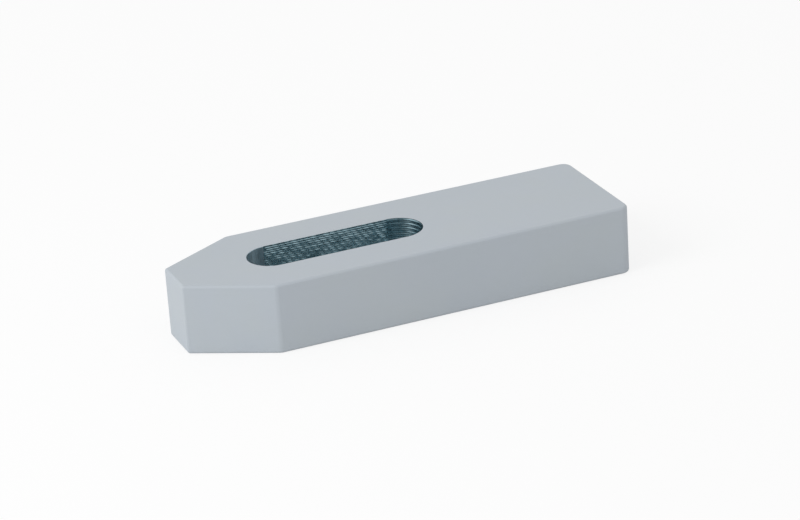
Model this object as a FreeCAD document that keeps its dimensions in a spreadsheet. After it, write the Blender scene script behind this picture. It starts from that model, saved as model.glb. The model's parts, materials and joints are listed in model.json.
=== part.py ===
import FreeCAD, Part
import math
import os
import Sketcher
from Part import Precision

# Plain strap clamp: one solid bar of steel that a stud, through its long slot, pulls down.
# The tapered nose presses on the work and the flat heel sits on a packing block.
# Millimetres, Z up. The underside lies on Z = 0, the nose points to -Y and the heel to +Y,
# and the origin is the middle of the underside's outline.

# --- Driving dimensions -----------------------------------------------------------------
# The slot's nose end is a smooth drilled hole with a small chamfer at either face. The
# roughing cutter that started in it, a little on from its centre, and ran toward the heel
# left the rest of the wall ribbed: level grooves with sloping flanks, one above another, and
# narrow lands between them. The lands stand at the slot's clear width. The first and last
# grooves are centred on the two faces, where each takes the place of the chamfer.
DIMENSIONS = {
    "bar_length": 160,
    "bar_width": 50,
    "bar_thickness": 25,
    "nose_width": 18,
    "taper_angle": 30,
    "corner_radius": 3.5,
    "edge_radius": 1,
    "slot_width": 18,
    "slot_length": 64,
    "slot_setback": 27,
    "rim_chamfer": 0.3,
    "cutter_start": 2,
    "groove_pitch": 1.5625,
    "groove_mouth": 1.2,
    "groove_floor": 0.4,
    "groove_depth": 0.45,
}
doc = FreeCAD.newDocument("strap_clamp")
sizes = doc.addObject("Spreadsheet::Sheet", "Sizes")
for row, (name, value) in enumerate(DIMENSIONS.items(), start=1):
    sizes.set(f"A{row}", name)
    sizes.set(f"B{row}", str(value))
    sizes.setAlias(f"B{row}", name)
doc.recompute()

clamp = doc.addObject("PartDesign::Body", "Clamp")
clamp.Label = "clamp"
datums = {datum.Role: datum for datum in clamp.Origin.OriginFeatures}

# The numbers by which a sketch knows the points of an edge, its origin and its upright axis.
START, END, CENTRE = 1, 2, 3
ORIGIN, UPRIGHT = -1, -2


def new_sketch(name, plane):
    """A sketch on one of the body's origin planes."""
    sketch = clamp.newObject("Sketcher::SketchObject", name)
    sketch.AttachmentSupport = [(datums[plane], "")]
    sketch.MapMode = "FlatFace"
    return sketch


def draw_polygon(sketch, points):
    """Straight edges from point to point and back to the first, joined at their ends."""
    for here, there in zip(points, points[1:] + points[:1]):
        sketch.addGeometry(Part.LineSegment(FreeCAD.Vector(*here), FreeCAD.Vector(*there)))
    for edge in range(len(points)):
        following = (edge + 1) % len(points)
        sketch.addConstraint(Sketcher.Constraint("Coincident", edge, END, following, START))


def drive(sketch, name, expression, *constraint):
    """Adds a dimension to a sketch, names it and binds it to the spreadsheet."""
    index = sketch.addConstraint(Sketcher.Constraint(*constraint))
    sketch.renameConstraint(index, name)
    sketch.setExpression(f"Constraints.{name}", expression)


# --- The bar: its outline from above, padded up, then rounded ----------------------------
# The upright corners at the shoulders and the heel have the larger radius. The edges of both
# faces and the nose's two uprights have the smaller.
half_length = DIMENSIONS["bar_length"] / 2
half_width = DIMENSIONS["bar_width"] / 2
half_nose = DIMENSIONS["nose_width"] / 2
taper_run = (half_width - half_nose) / math.tan(math.radians(DIMENSIONS["taper_angle"]))
NOSE, TAPER, SIDE, HEEL, _, FAR_TAPER = range(6)

outline = new_sketch("Outline", "XY_Plane")
draw_polygon(outline, [
    (-half_nose, -half_length),
    (half_nose, -half_length),
    (half_width, taper_run - half_length),
    (half_width, half_length),
    (-half_width, half_length),
    (-half_width, taper_run - half_length),
])
outline.addConstraint(Sketcher.Constraint("Symmetric", NOSE, START, NOSE, END, UPRIGHT))
outline.addConstraint(Sketcher.Constraint("Symmetric", HEEL, START, HEEL, END, UPRIGHT))
outline.addConstraint(Sketcher.Constraint("Symmetric", TAPER, END, FAR_TAPER, START, UPRIGHT))
outline.addConstraint(Sketcher.Constraint("Vertical", SIDE))
drive(outline, "nose_width", "Sizes.nose_width",
      "DistanceX", NOSE, START, NOSE, END, 2 * half_nose)
drive(outline, "bar_width", "Sizes.bar_width",
      "DistanceX", HEEL, END, HEEL, START, 2 * half_width)
drive(outline, "nose_reach", "Sizes.bar_length / 2",
      "DistanceY", NOSE, END, ORIGIN, START, half_length)
drive(outline, "heel_reach", "Sizes.bar_length / 2",
      "DistanceY", ORIGIN, START, HEEL, START, half_length)
drive(outline, "taper_run",
      "(Sizes.bar_width - Sizes.nose_width) / 2 / tan(Sizes.taper_angle * 1 deg)",
      "DistanceY", TAPER, START, TAPER, END, taper_run)

bar = clamp.newObject("PartDesign::Pad", "Bar")
bar.Profile = outline
bar.setExpression("Length", "Sizes.bar_thickness")
doc.recompute()


def edge_names(shape, chosen):
    """The names of a shape's edges that a test accepts."""
    return [f"Edge{n}" for n, edge in enumerate(shape.Edges, start=1) if chosen(edge)]


def is_level(edge):
    """Whether an edge lies level, as those of the two faces do."""
    return edge.BoundBox.ZLength < Precision.confusion()


def is_at_nose(edge):
    """Whether an edge lies in the nose's end face."""
    return edge.BoundBox.YMax < Precision.confusion() - half_length


def is_corner(edge):
    """Whether an edge stands upright at a shoulder or at the heel."""
    return not is_level(edge) and not is_at_nose(edge)


def is_sharp(edge):
    """Whether an edge belongs to a face or to the nose."""
    return is_level(edge) or is_at_nose(edge)


rounded_corners = clamp.newObject("PartDesign::Fillet", "RoundedCorners")
rounded_corners.Base = (bar, edge_names(bar.Shape, is_corner))
rounded_corners.setExpression("Radius", "Sizes.corner_radius")
doc.recompute()

rounded_edges = clamp.newObject("PartDesign::Fillet", "RoundedEdges")
rounded_edges.Base = (rounded_corners, edge_names(rounded_corners.Shape, is_sharp))
rounded_edges.setExpression("Radius", "Sizes.edge_radius")
doc.recompute()

# --- The slot: two half circles joined by straight walls, cut right through --------------
slot_radius = DIMENSIONS["slot_width"] / 2
nose_centre = DIMENSIONS["slot_setback"] + slot_radius - half_length
heel_centre = nose_centre + DIMENSIONS["slot_length"] - 2 * slot_radius
TO_NOSE_CENTRE = "Sizes.bar_length / 2 - Sizes.slot_setback - Sizes.slot_width / 2"
BETWEEN_CENTRES = "Sizes.slot_length - Sizes.slot_width"
NOSE_END, _, HEEL_END, _ = range(4)


def end_arc(centre, first_angle):
    """One rounded end: half a turn about its centre, from the first angle on."""
    circle = Part.Circle(FreeCAD.Vector(0, centre), FreeCAD.Vector(0, 0, 1), slot_radius)
    return Part.ArcOfCircle(circle, first_angle, first_angle + math.pi)


def side_line(x, first, last):
    """One straight side."""
    return Part.LineSegment(FreeCAD.Vector(x, first), FreeCAD.Vector(x, last))


def slot_sketch(name, first_centre, to_first_centre, between_centres):
    """The slot's outline, with the nose end's centre as given in numbers and expressions."""
    sketch = new_sketch(name, "XY_Plane")
    sketch.addGeometry(end_arc(first_centre, math.pi))
    sketch.addGeometry(side_line(slot_radius, first_centre, heel_centre))
    sketch.addGeometry(end_arc(heel_centre, 0))
    sketch.addGeometry(side_line(-slot_radius, heel_centre, first_centre))
    for edge in range(4):
        following = (edge + 1) % 4
        sketch.addConstraint(Sketcher.Constraint("Tangent", edge, END, following, START))
    for arc in (NOSE_END, HEEL_END):
        sketch.addConstraint(Sketcher.Constraint("PointOnObject", arc, CENTRE, UPRIGHT))
    sketch.addConstraint(Sketcher.Constraint("Equal", NOSE_END, HEEL_END))
    drive(sketch, "radius", "Sizes.slot_width / 2", "Radius", HEEL_END, slot_radius)
    drive(sketch, "between_centres", between_centres,
          "DistanceY", NOSE_END, CENTRE, HEEL_END, CENTRE, heel_centre - first_centre)
    drive(sketch, "to_first_centre", to_first_centre,
          "DistanceY", NOSE_END, CENTRE, ORIGIN, START, -first_centre)
    return sketch


slot_outline = slot_sketch("SlotOutline", nose_centre, TO_NOSE_CENTRE, BETWEEN_CENTRES)
slot = clamp.newObject("PartDesign::Pocket", "Slot")
slot.Profile = slot_outline
slot.Type = "ThroughAll"
slot.Reversed = True
doc.recompute()


def is_rim(edge):
    """Whether an edge of the cut bar goes round the mouth of the slot, at either face."""
    box = edge.BoundBox
    after_nose_end = box.YMin > nose_centre - slot_radius - Precision.confusion()
    before_heel_end = box.YMax < heel_centre + slot_radius + Precision.confusion()
    return is_level(edge) and after_nose_end and before_heel_end


rim = clamp.newObject("PartDesign::Chamfer", "Rim")
rim.Base = (slot, edge_names(slot.Shape, is_rim))
rim.setExpression("Size", "Sizes.rim_chamfer")
doc.recompute()

# --- The ribbed wall: one groove swept by the cutter, then repeated up through the bar ----
# The section is a trapezoid whose flanks run on past the wall into the open slot, as far
# again as the groove is deep. The stack of grooves is centred on the bar's mid-thickness.
cutter_path = slot_sketch(
    "CutterPath",
    nose_centre + DIMENSIONS["cutter_start"],
    f"{TO_NOSE_CENTRE} - Sizes.cutter_start",
    f"{BETWEEN_CENTRES} - Sizes.cutter_start",
)
thickness = DIMENSIONS["bar_thickness"]
pitch = DIMENSIONS["groove_pitch"]
lowest = (thickness - thickness // pitch * pitch) / 2
floor_x = slot_radius + DIMENSIONS["groove_depth"]
opening_x = slot_radius - DIMENSIONS["groove_depth"]
half_floor = DIMENSIONS["groove_floor"] / 2
half_opening = DIMENSIONS["groove_mouth"] - half_floor
PITCHES = "floor(Sizes.bar_thickness / Sizes.groove_pitch)"
LOWEST = f"(Sizes.bar_thickness - {PITCHES} * Sizes.groove_pitch) / 2"
FLOOR, UPPER_FLANK, OPENING, LOWER_FLANK = range(4)

section = new_sketch("GrooveSection", "XZ_Plane")
section.setExpression(
    "AttachmentOffset.Base.z", "Sizes.bar_length / 2 - Sizes.slot_setback - Sizes.slot_length / 2"
)
draw_polygon(section, [
    (floor_x, lowest - half_floor),
    (floor_x, lowest + half_floor),
    (opening_x, lowest + half_opening),
    (opening_x, lowest - half_opening),
])
section.addConstraint(Sketcher.Constraint("Vertical", FLOOR))
section.addConstraint(Sketcher.Constraint("Vertical", OPENING))
section.addConstraint(Sketcher.Constraint("Equal", UPPER_FLANK, LOWER_FLANK))
drive(section, "floor_from_middle", "Sizes.slot_width / 2 + Sizes.groove_depth",
      "DistanceX", ORIGIN, START, FLOOR, START, floor_x)
drive(section, "opening_from_middle", "Sizes.slot_width / 2 - Sizes.groove_depth",
      "DistanceX", ORIGIN, START, OPENING, START, opening_x)
drive(section, "floor", "Sizes.groove_floor",
      "DistanceY", FLOOR, START, FLOOR, END, 2 * half_floor)
drive(section, "opening", "2 * Sizes.groove_mouth - Sizes.groove_floor",
      "DistanceY", OPENING, END, OPENING, START, 2 * half_opening)
drive(section, "height", f"{LOWEST} + Sizes.groove_floor / 2",
      "DistanceY", ORIGIN, START, FLOOR, END, lowest + half_floor)
doc.recompute()

groove = clamp.newObject("PartDesign::SubtractivePipe", "Groove")
groove.Profile = section
groove.Spine = (cutter_path, [f"Edge{edge + 1}" for edge in range(4)])
doc.recompute()

ribs = clamp.newObject("PartDesign::LinearPattern", "RibbedWall")
ribs.Originals = [groove]
ribs.Direction = (datums["Z_Axis"], [""])
ribs.Mode = "Spacing"
ribs.setExpression("Offset", "Sizes.groove_pitch")
ribs.setExpression("Occurrences", f"{PITCHES} + 1")
clamp.Tip = ribs
doc.recompute()

# --- Check and write --------------------------------------------------------------------
for item in doc.Objects:
    if {"Invalid", "Error"} & set(item.State):
        raise RuntimeError(f"{item.Name} failed: {item.State}")
if clamp.Shape.isNull() or not clamp.Shape.isValid() or len(clamp.Shape.Solids) != 1:
    raise RuntimeError("the clamp isn't one valid solid")
features = [bar, rounded_corners, rounded_edges, slot, rim, groove, ribs]
for before, after in zip(features, features[1:]):
    if after.Shape.Volume >= before.Shape.Volume:
        raise RuntimeError(f"{after.Name} removed nothing")
print(f"clamp: {clamp.Shape.Volume / 1000:.1f} cm3, {len(clamp.Shape.Faces)} faces")

os.makedirs("parts", exist_ok=True)
clamp.Shape.exportStep(f"parts/{clamp.Label}.step")
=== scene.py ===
# %% [markdown]
# # A painted strap clamp with a ribbed slot
#
# A strap clamp is a thick bar of steel. A stud comes up through its long slot, and a nut on
# the stud pulls the bar down: the tapered nose presses on the work, and the flat heel stands
# on a packing block. The outside is sprayed with a smooth satin paint. The slot is not
# painted: its wall shows bare steel with the marks of the drill and the cutter.
#
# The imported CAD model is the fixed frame. The clamp is then modelled once more at the same
# sizes, because the marks in its slot are finer than the CAD solid has them, and because its
# outside and its slot need different finishes. Lengths are in metres.

# %% Load the frame
import json
import math

import bpy
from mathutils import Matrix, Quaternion, Vector, noise

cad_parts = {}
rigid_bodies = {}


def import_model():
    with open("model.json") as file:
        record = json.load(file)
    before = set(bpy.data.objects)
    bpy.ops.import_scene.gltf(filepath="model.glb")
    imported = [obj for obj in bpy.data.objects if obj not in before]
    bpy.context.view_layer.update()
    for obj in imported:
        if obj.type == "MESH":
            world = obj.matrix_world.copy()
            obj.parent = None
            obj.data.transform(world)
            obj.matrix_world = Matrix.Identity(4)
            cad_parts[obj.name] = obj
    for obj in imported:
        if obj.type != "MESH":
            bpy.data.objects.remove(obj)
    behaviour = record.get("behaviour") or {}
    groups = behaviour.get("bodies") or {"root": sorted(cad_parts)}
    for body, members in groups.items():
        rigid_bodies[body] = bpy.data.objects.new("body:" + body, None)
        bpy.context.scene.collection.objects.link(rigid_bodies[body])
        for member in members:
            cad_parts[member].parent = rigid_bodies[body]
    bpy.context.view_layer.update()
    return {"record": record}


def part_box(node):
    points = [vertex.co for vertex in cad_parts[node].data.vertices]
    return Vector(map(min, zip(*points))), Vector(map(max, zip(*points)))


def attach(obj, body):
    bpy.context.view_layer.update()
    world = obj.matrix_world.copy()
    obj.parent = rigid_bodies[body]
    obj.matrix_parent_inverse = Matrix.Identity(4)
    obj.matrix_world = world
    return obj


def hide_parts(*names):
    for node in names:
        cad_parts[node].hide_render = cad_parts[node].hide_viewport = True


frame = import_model()
MM = 0.001
low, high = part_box("clamp")
size = high - low
print("clamp, in mm:", [round(side / MM, 2) for side in size])

# %% [markdown]
# ## The blank
#
# The real clamp starts as a length of flat bar, and its nose is sawn or milled to a taper.
# The model starts the same way. A cube is added at the bar's size and place, one cut
# across it marks the shoulders where the taper begins, and the nose end is squeezed to its
# width. Two separate blocks, a bar and a wedge, would leave a seam at the shoulders.


# %% Helpers to select in code
def select_none():
    """Deselects every object, so that an operator acts on the new piece alone."""
    bpy.ops.object.select_all(action="DESELECT")


def choose(piece, *others):
    """Selects these objects and no more, and makes the first one active."""
    select_none()
    for item in (piece, *others):
        item.select_set(True)
    bpy.context.view_layer.objects.active = piece


def edit(piece, select_mode):
    """Opens a piece in edit mode, with nothing in it selected."""
    choose(piece)
    bpy.ops.object.mode_set(mode="EDIT")
    bpy.ops.mesh.select_mode(type=select_mode)
    bpy.ops.mesh.select_all(action="DESELECT")


def pick(piece, kind, wanted):
    """Selects only the vertices, edges or faces that a test wants, and returns how many."""
    bpy.ops.mesh.select_all(action="DESELECT")
    bpy.ops.object.mode_set(mode="OBJECT")
    items = getattr(piece.data, kind)
    count = 0
    for item in items:
        item.select = wanted(item)
        count += item.select
    bpy.ops.object.mode_set(mode="EDIT")
    return count


print("ready: select_none, choose, edit, pick")

# %% Cut and taper the bar
NOSE_WIDTH = 18 * MM
TAPER_ANGLE = math.radians(30)
TINY = 0.001 * MM  # what is nearer than this counts as the same place
FLAT = 0.999  # a face looks one way when its normal goes at least this far that way

taper_run = (size.x - NOSE_WIDTH) / 2 / math.tan(TAPER_ANGLE)
shoulder_y = low.y + taper_run

select_none()
bpy.ops.mesh.primitive_cube_add(size=1, location=(low + high) / 2, scale=size)
clamp = bpy.context.object
clamp.name = "strap_clamp"
bpy.ops.object.transform_apply(location=True, rotation=True, scale=True)

edit(clamp, "FACE")
bpy.ops.mesh.select_all(action="SELECT")
bpy.ops.mesh.bisect(plane_co=(0, shoulder_y, 0), plane_no=(0, 1, 0))
pick(clamp, "polygons", lambda face: face.normal.y < -FLAT)
bpy.ops.transform.resize(value=(NOSE_WIDTH / size.x, 1, 1), center_override=(0, low.y, 0))
bpy.ops.mesh.select_all(action="SELECT")
bpy.ops.mesh.dissolve_limited(angle_limit=math.radians(1))
bpy.ops.object.mode_set(mode="OBJECT")
print("blank:", len(clamp.data.polygons), "faces, shoulders at y =", round(shoulder_y / MM, 1))

# %% [markdown]
# ## Rounded edges
#
# The bar's sharp edges are broken before it is painted. The upright corners at the
# shoulders and the heel are rounded most. The edges of the two faces and the nose's
# uprights are only just taken off. The corners are rounded first, so that the second pass
# can run round them in one smooth band.
#
# A Bevel modifier measures its width along the faces, so one width would round a blunt
# edge more than a square one. Each edge therefore gets a bevel weight, which is the
# tangent of half the angle that the surface turns there: 1 at a square edge, and less at
# the taper's blunt ones. Then one radius holds everywhere, as with a ball-nosed tool.


# %% Helpers to round edges
def is_level(edge):
    """Whether an edge lies level, as those round the two faces do."""
    start, end = (clamp.data.vertices[index].co for index in edge.vertices)
    return abs(start.z - end.z) < TINY


def is_at_nose(edge):
    """Whether an edge lies in the nose's end face."""
    return all(clamp.data.vertices[index].co.y < low.y + TINY for index in edge.vertices)


def round_edges(radius, steps, chosen):
    """Rounds those edges of the clamp that a test chooses, all to one true radius."""
    sides = {}
    for face in clamp.data.polygons:
        for key in face.edge_keys:
            sides.setdefault(key, []).append(face.normal)
    weights = clamp.data.attributes.new("bevel_weight_edge", "FLOAT", "EDGE")
    for edge in clamp.data.edges:
        one_side, other_side = sides[edge.key]
        turn = one_side.angle(other_side)
        weights.data[edge.index].value = math.tan(turn / 2) if chosen(edge) else 0
    bevel = clamp.modifiers.new("rounding", "BEVEL")
    bevel.limit_method = "WEIGHT"
    bevel.width = radius
    bevel.segments = steps
    bpy.ops.object.modifier_apply(modifier=bevel.name)
    clamp.data.attributes.remove(clamp.data.attributes["bevel_weight_edge"])
    print("rounded to", round(radius / MM, 1), "mm:", len(clamp.data.polygons), "faces")


print("ready: is_level, is_at_nose, round_edges")

# %% Round the corners, then the faces' edges and the nose
CORNER_RADIUS = 3.5 * MM
EDGE_RADIUS = 1 * MM
BEVEL_STEPS = 6

round_edges(CORNER_RADIUS, BEVEL_STEPS, lambda edge: not is_level(edge) and not is_at_nose(edge))
round_edges(EDGE_RADIUS, BEVEL_STEPS, lambda edge: is_level(edge) or is_at_nose(edge))

# %% [markdown]
# ## The slot's wall
#
# The slot is two half circles joined by straight walls. Its wall is modelled as a surface
# of its own: a fine grid stands for one straight wall, and its last column of edges is spun
# half a turn to make the heel end. The rest of the slot is that same shape turned half
# round about the slot's middle, so it is copied and turned instead of modelled again.
#
# A boolean cut would also open the slot, but its wall would have no grid, and the marks of
# the cutter need one: six rows for each row of bites, and short steps along the wall.

# %% Lay out the slot
stud_slot = next(m for m in frame["record"]["mounts"] if m["name"] == "stud_slot")
slot_radius = stud_slot["dims"]["hole_r_mm"] * MM
slot_middle_y = stud_slot["pos_m"][1]
straight = stud_slot["dims"]["slot_length_mm"] * MM - 2 * slot_radius
nose_centre_y = slot_middle_y - straight / 2
heel_centre_y = slot_middle_y + straight / 2

GROOVE_PITCH = 1.5625 * MM  # from one band at the heel end to the next
BITE_PITCH = GROOVE_PITCH / 2  # from one row of bites to the next
STEPS_PER_BITE = 6
COLUMNS = 160
SPIN_STEPS = 56

rows = round(size.z / BITE_PITCH) * STEPS_PER_BITE
print("slot:", round(straight / MM, 1), "mm straight,", rows, "rows")

# %% Build half of the wall, then turn a copy of it half round
select_none()
bpy.ops.mesh.primitive_grid_add(
    x_subdivisions=rows,
    y_subdivisions=COLUMNS,
    size=1,
    location=(slot_radius, slot_middle_y, size.z / 2),
    rotation=(0, math.pi / 2, 0),
)
wall = bpy.context.object
wall.name = "slot_wall"
wall.scale = (size.z, straight, 1)
bpy.ops.object.transform_apply(location=True, rotation=True, scale=True)

edit(wall, "VERT")
pick(wall, "vertices", lambda point: point.co.y > heel_centre_y - TINY)
bpy.ops.mesh.spin(
    steps=SPIN_STEPS, angle=math.pi, center=(0, heel_centre_y, 0), axis=(0, 0, -1)
)
bpy.ops.mesh.select_all(action="SELECT")
bpy.ops.mesh.duplicate()
bpy.ops.transform.rotate(
    value=math.pi, orient_axis="Z", center_override=(0, slot_middle_y, 0)
)
bpy.ops.mesh.select_all(action="SELECT")
bpy.ops.mesh.remove_doubles(threshold=TINY)
print("slot wall:", len(wall.data.vertices), "vertices")

# %% [markdown]
# An open shell has no inside, so its faces may look either way. They have to look into the
# slot, away from the steel, because the marks are pressed in against their normals.

# %% Turn the faces toward the open slot
bpy.ops.mesh.normals_make_consistent(inside=False)
bpy.ops.object.mode_set(mode="OBJECT")
side_face = max(wall.data.polygons, key=lambda face: face.center.x)
if side_face.normal.x > 0:
    edit(wall, "FACE")
    bpy.ops.mesh.select_all(action="SELECT")
    bpy.ops.mesh.flip_normals()
    bpy.ops.object.mode_set(mode="OBJECT")
print("slot wall:", len(wall.data.polygons), "faces")

# %% [markdown]
# ## The cutter's marks
#
# A roughing cutter has wavy teeth, and each tooth takes its own bite as the cutter moves
# along. On the straight walls the bites lie in level rows like the stitches of a knitted
# cloth: each row starts a quarter of a bite further on than the one below it, every bite
# slants a little, and no two are cut quite alike. At the heel end the cutter turned on
# the spot, so bands run through unbroken there, shallow at first and deepest at the slot's
# very end. The nose end is what is left of the hole that was drilled first, so it is smooth.
#
# The marks are real shape. Each point of the wall gets a weight from 0 for no mark to 1
# for the deepest, and a Displace modifier pushes the points into the steel by that
# weight. A picture of the marks on a flat wall would look painted on from close by.

# %% Where a point lies along the cutter's way
CUTTER_START = 2 * MM


def run_along(point):
    """How far the cutter has run when it passes a point: up one wall, round, and back."""
    if point.y > heel_centre_y:
        turn = math.atan2(point.y - heel_centre_y, -point.x)
        return straight + slot_radius * turn
    if point.x < 0:
        return point.y - nose_centre_y
    return straight + slot_radius * math.pi + heel_centre_y - point.y


def fade(value, start, end):
    """Rises smoothly from 0 at the start to 1 at the end."""
    share = min(max((value - start) / (end - start), 0), 1)
    return share * share * (3 - 2 * share)


print("cutter's way:", round((2 * straight + slot_radius * math.pi) / MM), "mm")

# %% The bites on the straight walls
BITE_LENGTH = 2.4 * MM
BITE_SLANT = 0.24  # how far a bite climbs along its length, in rows
SLANT_LUCK = 0.2  # how much that differs between bites
ROW_SHIFT = 0.25  # how far each row starts past the one below, in bites
BITE_LEAST = 0.3  # how deep a bite still is at its ends, as a share
BITE_CURVE = 0.6  # below 1, a bite is deep over more of its length
DEPTH_LUCK = 0.4  # how much the depth differs between bites


def wave(turns):
    """1 at each whole number of turns and 0 halfway between, with a soft swing."""
    return 0.5 + 0.5 * math.cos(2 * math.pi * turns)


def bites(run, height):
    """How deep the bites are, from 0 to 1, at a height counted in rows of bites."""
    deepest = 0
    for row in (math.floor(height), math.floor(height) + 1):
        count = run / BITE_LENGTH + ROW_SHIFT * row
        luck = noise.cell(Vector((math.floor(count) + 0.5, row + 0.5, 0.5)))
        share = count - math.floor(count)
        climb = (BITE_SLANT + SLANT_LUCK * (luck - 0.5)) * (0.5 - share)
        swell = math.sin(math.pi * share) ** BITE_CURVE
        swell = swell * (1 - DEPTH_LUCK + DEPTH_LUCK * luck)
        bite = BITE_LEAST + (1 - BITE_LEAST) * swell
        deepest = max(deepest, bite * wave(min(abs(height - row - climb), 0.5)))
    return deepest


print("bites in a row:", round(straight / BITE_LENGTH))

# %% The bands at the heel end
BAND_START = 0.1 * MM
BAND_DEPTH = 0.2 * MM
DEEPENS_FROM = heel_centre_y + 0.5 * slot_radius
DEEPENS_TO = heel_centre_y + 0.95 * slot_radius


def bands(point):
    """How deep the bands are at a point of the heel end."""
    far = fade(point.y, DEEPENS_FROM, DEEPENS_TO)
    return (BAND_START + (BAND_DEPTH - BAND_START) * far) * wave(point.z / GROOVE_PITCH)


print("bands:", round(size.z / GROOVE_PITCH))

# %% The depth of the marks at a point
WALL_DEPTH = 0.1 * MM  # what the cutter took all over, past the drilled nose end
BITE_DEPTH = 0.2 * MM
LOWEST_ROW = 0.3
TURN_BLEND = 1 * MM
RIM_CHAMFER = 0.15 * MM


def mark_depth(point):
    """How deep the marks are at a point of the slot's wall."""
    turning = fade(point.y, heel_centre_y - TURN_BLEND / 2, heel_centre_y + TURN_BLEND / 2)
    entered = fade(point.y, nose_centre_y - CUTTER_START / 2, nose_centre_y + CUTTER_START / 2)
    bitten = BITE_DEPTH * bites(run_along(point), point.z / BITE_PITCH - LOWEST_ROW)
    depth = entered * (WALL_DEPTH + bitten * (1 - turning) + bands(point) * turning)
    at_face = point.z < low.z + TINY or point.z > high.z - TINY
    return max(depth, RIM_CHAMFER * (1 - entered)) if at_face else depth


print("deepest mark, in mm:", round((WALL_DEPTH + max(BITE_DEPTH, BAND_DEPTH)) / MM, 2))

# %% Press the marks into the wall
DEEPEST = WALL_DEPTH + BITE_DEPTH
marks = wall.vertex_groups.new(name="marks")
for point in wall.data.vertices:
    marks.add([point.index], mark_depth(point.co) / DEEPEST, "REPLACE")

press = wall.modifiers.new("marks", "DISPLACE")
press.vertex_group = marks.name
press.mid_level = 0
press.strength = -DEEPEST
choose(wall)
bpy.ops.object.modifier_apply(modifier=press.name)
half_width = max(point.co.x for point in wall.data.vertices)
print("widest across the slot, in mm:", round(2 * half_width / MM, 2))

# %% [markdown]
# ## One closed body
#
# The wall now has to become part of the bar. The bar's flat top and underside are taken
# out, which leaves their outlines open, and the wall is joined in. A fill then spans each
# outline and the slot's rim. It makes many thin triangles, and as they are all in one plane,
# they are dissolved into a few large faces. The body is closed again, with no seam.

# %% Join the wall to the bar
edit(clamp, "FACE")
pick(clamp, "polygons", lambda face: abs(face.normal.z) > FLAT)
bpy.ops.mesh.delete(type="ONLY_FACE")
bpy.ops.object.mode_set(mode="OBJECT")

choose(clamp, wall)
bpy.ops.object.join()
print("joined:", len(clamp.data.vertices), "vertices")


# %% Close the top and the underside
def lies_at(edge, z):
    """Whether both ends of an edge of the clamp lie at this height."""
    return all(abs(clamp.data.vertices[index].co.z - z) < TINY for index in edge.vertices)


edit(clamp, "EDGE")
for z in (low.z, high.z):
    pick(clamp, "edges", lambda edge, z=z: lies_at(edge, z))
    bpy.ops.mesh.fill(use_beauty=True)
    bpy.ops.mesh.dissolve_limited(angle_limit=math.radians(0.5))

bpy.ops.mesh.select_all(action="SELECT")
bpy.ops.mesh.normals_make_consistent(inside=False)
bpy.ops.mesh.select_all(action="DESELECT")
bpy.ops.mesh.select_mode(type="EDGE")
bpy.ops.mesh.select_non_manifold()
bpy.ops.object.mode_set(mode="OBJECT")
print("open edges:", sum(edge.select for edge in clamp.data.edges))
print("body:", len(clamp.data.polygons), "faces")

# %% [markdown]
# ## Smooth where it is round, crisp where it is cut
#
# Smooth shading blends the normals of neighbouring faces. On its own it would also bend the
# light across the large flats. The sharper edges are marked first, so that they stay crisp,
# and a Weighted Normal modifier then lets the larger face decide, so that the flats stay
# flat right up to their rounded edges.

# %% Shade the body
CRISP_FROM = math.radians(45)
choose(clamp)
bpy.ops.object.shade_smooth_by_angle(angle=CRISP_FROM)
even = clamp.modifiers.new("even", "WEIGHTED_NORMAL")
even.keep_sharp = True
bpy.ops.object.modifier_apply(modifier=even.name)
print("sharp edges:", sum(edge.use_edge_sharp for edge in clamp.data.edges))

# %% [markdown]
# ## Shader maths in plain Python
#
# Materials are made of nodes. Sums of nodes are hard to read, so one small class wraps a
# socket and lets Python's own signs add the Math nodes. Every other node comes from its
# method add, which takes the node's type, its settings, and what goes into its sockets.


# %% A socket that can be reckoned with
class Signal:
    """One output socket of a material's nodes."""

    def __init__(self, tree, socket=None):
        self.tree = tree
        self.socket = socket

    def add(self, node_type, settings=None, inputs=None, output=0):
        """Adds a node: its settings come first, and then the values or links of its inputs."""
        node = self.tree.nodes.new(node_type)
        for name, setting in (settings or {}).items():
            setattr(node, name, setting)
        for name, value in (inputs or {}).items():
            if isinstance(value, Signal):
                self.tree.links.new(value.socket, node.inputs[name])
            else:
                node.inputs[name].default_value = value
        return Signal(self.tree, node.outputs[output] if node.outputs else None)

    def maths(self, operation, first, second):
        return self.add("ShaderNodeMath", {"operation": operation}, {0: first, 1: second})

    def __add__(self, other):
        return self.maths("ADD", self, other)

    def __sub__(self, other):
        return self.maths("SUBTRACT", self, other)

    def __rsub__(self, other):
        return self.maths("SUBTRACT", other, self)

    def __mul__(self, other):
        return self.maths("MULTIPLY", self, other)

    __radd__ = __add__
    __rmul__ = __mul__


def new_material(name):
    """A material with no nodes yet, and the signal that its nodes are added from."""
    material = bpy.data.materials.new(name)
    material.use_nodes = True
    material.node_tree.nodes.clear()
    return material, Signal(material.node_tree)


def blend(signal, share, colour, other):
    """A colour that goes from one to another as the share goes from 0 to 1."""
    return signal.add(
        "ShaderNodeMix", {"data_type": "RGBA"}, {0: share, 6: colour, 7: other}, output=2
    )


print("ready: Signal, new_material, blend")

# %% [markdown]
# ## Satin paint
#
# The bar wears a pale blue-grey coat with a satin sheen. Sprayed paint isn't quite even:
# its tone drifts over centimetres and leans to a warmer grey in places, it has a very fine
# ripple called orange peel, and its sheen changes a little with it. Each is a noise of its
# own size, because one noise for all would look like a single printed pattern.

# %% Mix the paint
PAINT = (0.444, 0.482, 0.53, 1)
PAINT_DEEP = (0.405, 0.448, 0.488, 1)
PAINT_GREYER = (0.43, 0.47, 0.495, 1)
DRIFT, LEAN, MOTTLE, PEEL = 28, 60, 420, 900  # sizes of the noises, in waves a metre
PEEL_HEIGHT = 0.01 * MM
PAINT_ROUGHNESS = 0.42
PAINT_SPECULAR = 0.35


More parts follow.
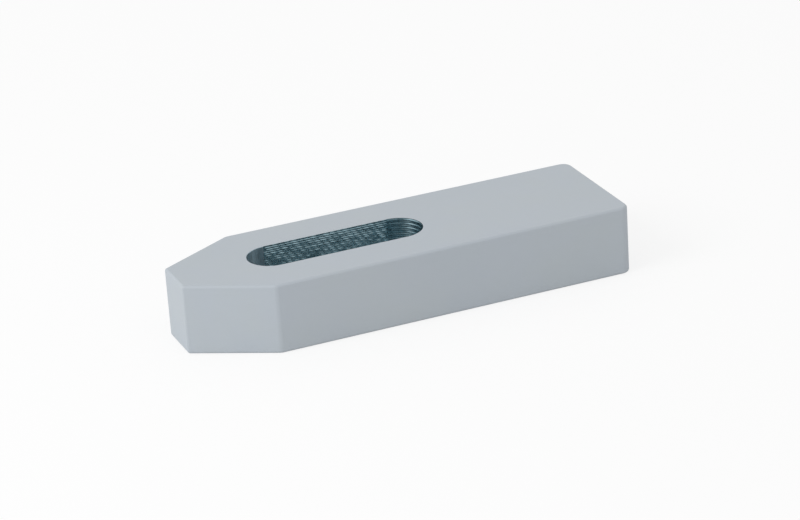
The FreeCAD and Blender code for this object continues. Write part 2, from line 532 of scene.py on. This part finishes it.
def cloud(signal, place, scale, detail):
    """Soft noise from 0 to 1, with its scale in waves a metre."""
    return signal.add(
        "ShaderNodeTexNoise", inputs={"Vector": place, "Scale": scale, "Detail": detail}
    )


paint, nodes = new_material("satin_paint")
place = nodes.add("ShaderNodeTexCoord", output="Object")
mottle = cloud(nodes, place, MOTTLE, 3)
tone = blend(nodes, cloud(nodes, place, DRIFT, 2) * 0.7 + mottle * 0.3, PAINT_DEEP, PAINT)
leaning = cloud(nodes, place, LEAN, 2) * 1.5 - 0.4
tone = blend(nodes, leaning, tone, PAINT_GREYER)
peel = cloud(nodes, place, PEEL, 1)
ripple = nodes.add(
    "ShaderNodeBump", inputs={"Height": peel, "Distance": PEEL_HEIGHT, "Strength": 1}
)
coat = nodes.add(
    "ShaderNodeBsdfPrincipled",
    inputs={
        "Base Color": tone,
        "Roughness": mottle * 0.12 + PAINT_ROUGHNESS,
        "Normal": ripple,
        "Specular IOR Level": PAINT_SPECULAR,
    },
)
nodes.add("ShaderNodeOutputMaterial", inputs={"Surface": coat})
print("paint:", len(paint.node_tree.nodes), "nodes")

# %% [markdown]
# ## Bare cut steel
#
# The slot's wall is bare steel, dark with a little oil, which gives it a blue-green cast. It
# is metallic, so its looks come mostly from what it mirrors: flanks that face up catch the
# light, and those that face down stay dark. Its tone and roughness vary in small patches,
# with finer level scratches along the way the tool went.
#
# The drill and the cutter left two finishes of the same steel, so one function mixes both.
# The drilled nose end is duller than the milled walls, and its paler tones are painted, standing
# in for the bright room it reflects.


# %% Mix the steel
PATCHES = 260
ALONG, UP = 120, 3500  # waves a metre along a scratch and across it
SCRATCH_HEIGHT = 0.02 * MM
ROUGHER = 0.2


def mix_steel(name, pale, dark, roughness):
    """A steel between two tones, whose roughness goes up from the given one in patches."""
    material, nodes = new_material(name)
    place = nodes.add("ShaderNodeTexCoord", output="Object")
    patches = cloud(nodes, place, PATCHES, 3)
    stretched = nodes.add(
        "ShaderNodeMapping", inputs={"Vector": place, "Scale": (ALONG, ALONG, UP)}
    )
    scratches = cloud(nodes, stretched, 1, 2)
    grain = nodes.add(
        "ShaderNodeBump",
        inputs={"Height": scratches, "Distance": SCRATCH_HEIGHT, "Strength": 1},
    )
    metal = nodes.add(
        "ShaderNodeBsdfPrincipled",
        inputs={
            "Base Color": blend(nodes, patches * 0.6 + scratches * 0.4, dark, pale),
            "Metallic": 1.0,
            "Roughness": patches * ROUGHER + roughness,
            "Normal": grain,
        },
    )
    nodes.add("ShaderNodeOutputMaterial", inputs={"Surface": metal})
    print(name + ":", len(material.node_tree.nodes), "nodes")
    return material


milled = mix_steel("milled_steel", (0.43, 0.58, 0.64, 1), (0.13, 0.22, 0.25, 1), 0.13)
# the drilled steel's paler tones are a painted reflection of the bright room; its higher
# roughness is real
drilled_painted_reflection = mix_steel("drilled_steel", (0.52, 0.62, 0.68, 1), (0.26, 0.34, 0.38, 1), 0.3)

# %% [markdown]
# ## Paint outside, steel in the slot
#
# One body wears three finishes, so each face is told which one it has. The faces of the
# slot are found by where they lie: close to the slot's outline, and not level. A mask in
# one material could do it too, but its border would have to be as fine as the rim.

# %% Dress the body
for finish in (paint, milled, drilled_painted_reflection):
    clamp.data.materials.append(finish)


def in_slot(face):
    """Whether a face belongs to the slot's wall: inside its outline, and not level."""
    nearest_y = min(max(face.center.y, nose_centre_y), heel_centre_y)
    away = math.hypot(face.center.x, face.center.y - nearest_y)
    return away < slot_radius + 2 * DEEPEST and abs(face.normal.z) < FLAT


def is_drilled(face):
    """Whether a face belongs to the smooth nose end of the slot's wall."""
    return in_slot(face) and face.center.y < nose_centre_y


edit(clamp, "FACE")
for slot_index, belongs in ((1, in_slot), (2, is_drilled)):
    count = pick(clamp, "polygons", belongs)
    clamp.active_material_index = slot_index
    bpy.ops.object.material_slot_assign()
    print(clamp.data.materials[slot_index].name + ":", count, "faces")
bpy.ops.object.mode_set(mode="OBJECT")

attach(clamp, "root")
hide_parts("clamp")

# %% [markdown]
# ## A floor and a white room
#
# The clamp lies on a pale floor in an even, white room. The camera sees the floor partly as
# plain white, so the ground stays bright and the soft shadow stays visible. The floor lies
# a hair below the underside, because two surfaces at one height flicker into each other.
#
# The room shows white where the camera or a mirrored ray looks, and lights the clamp at a
# calmer level. One large, soft lamp past the nose sets the nose end off from the side.

# %% Lay the floor
FLOOR_REACH = 6
FLOOR_GAP = 0.02 * MM
FLOOR_GREY = (0.86, 0.86, 0.86, 1)
FLOOR_PALE = (0.9, 0.9, 0.9, 1)
FLOOR_CLOUDS = 3
FLOOR_WHITE = 0.8  # how much of plain white the camera sees

select_none()
bpy.ops.mesh.primitive_plane_add(size=2 * FLOOR_REACH, location=(0, 0, low.z - FLOOR_GAP))
floor = bpy.context.object
floor.name = "floor"

ground, nodes = new_material("pale_floor")
place = nodes.add("ShaderNodeTexCoord", output="Object")
seen = nodes.add("ShaderNodeLightPath", output="Is Camera Ray")
grey = blend(nodes, cloud(nodes, place, FLOOR_CLOUDS, 1), FLOOR_GREY, FLOOR_PALE)
matt = nodes.add("ShaderNodeBsdfDiffuse", inputs={"Color": grey})
white = nodes.add("ShaderNodeEmission", inputs={"Color": (1, 1, 1, 1), "Strength": 1.0})
mixed = nodes.add("ShaderNodeMixShader", inputs={0: seen * FLOOR_WHITE, 1: matt, 2: white})
nodes.add("ShaderNodeOutputMaterial", inputs={"Surface": mixed})
floor.data.materials.append(ground)
print("floor:", 2 * FLOOR_REACH, "m wide")

# %% Light the room
ROOM = 0.75
room = bpy.data.worlds.new("white_room")
bpy.context.scene.world = room
room.use_nodes = True
room.node_tree.nodes.clear()
nodes = Signal(room.node_tree)
camera_ray = nodes.add("ShaderNodeLightPath", output="Is Camera Ray")
glossy_ray = nodes.add("ShaderNodeLightPath", output="Is Glossy Ray")
through_ray = nodes.add("ShaderNodeLightPath", output="Is Transmission Ray")
shown = nodes.maths("MAXIMUM", nodes.maths("MAXIMUM", camera_ray, glossy_ray), through_ray)
sky = nodes.add(
    "ShaderNodeBackground",
    inputs={"Color": (1, 1, 1, 1), "Strength": shown * (1 - ROOM) + ROOM},
)
nodes.add("ShaderNodeOutputWorld", inputs={"Surface": sky})
print("room:", len(room.node_tree.nodes), "nodes")

# %% Hang the key lamp
KEY_PLACE = Vector((0.2, -1.2, 0.9))
KEY_TARGET = Vector((0, 0, 0.01))
KEY_SIZE = 0.8
KEY_POWER = 10

key_light = bpy.data.lights.new("key", "AREA")
key_light.shape = "SQUARE"
key_light.size = KEY_SIZE
key_light.energy = KEY_POWER
key = bpy.data.objects.new("key", key_light)
key.location = KEY_PLACE
key.rotation_euler = (KEY_TARGET - KEY_PLACE).to_track_quat("-Z", "Y").to_euler()
bpy.context.collection.objects.link(key)
print("key lamp:", KEY_POWER, "W")

# %% [markdown]
# ## The camera
#
# A long lens from about a metre away looks down on the clamp's nose end and one long side.
# It is tilted slightly, as a hand-held camera is.

# %% Set the camera
CAMERA_PLACE = Vector((0.8924, -0.3524, 0.4206))
CAMERA_TARGET = Vector((0.0006, 0.0023, 0.0131))
CAMERA_TILT = math.radians(-3.815)
SENSOR_WIDTH = 36
FOCAL_LENGTH = 135

lens = bpy.data.cameras.new("camera")
lens.sensor_width = SENSOR_WIDTH
lens.lens = FOCAL_LENGTH
camera = bpy.data.objects.new("camera", lens)
camera.location = CAMERA_PLACE
aim = (CAMERA_TARGET - CAMERA_PLACE).to_track_quat("-Z", "Y")
camera.rotation_mode = "QUATERNION"
camera.rotation_quaternion = aim @ Quaternion((0, 0, 1), CAMERA_TILT)
bpy.context.collection.objects.link(camera)
bpy.context.scene.camera = camera
bpy.context.scene.view_settings.view_transform = "Standard"
print("camera distance:", round((CAMERA_TARGET - CAMERA_PLACE).length, 2), "m")
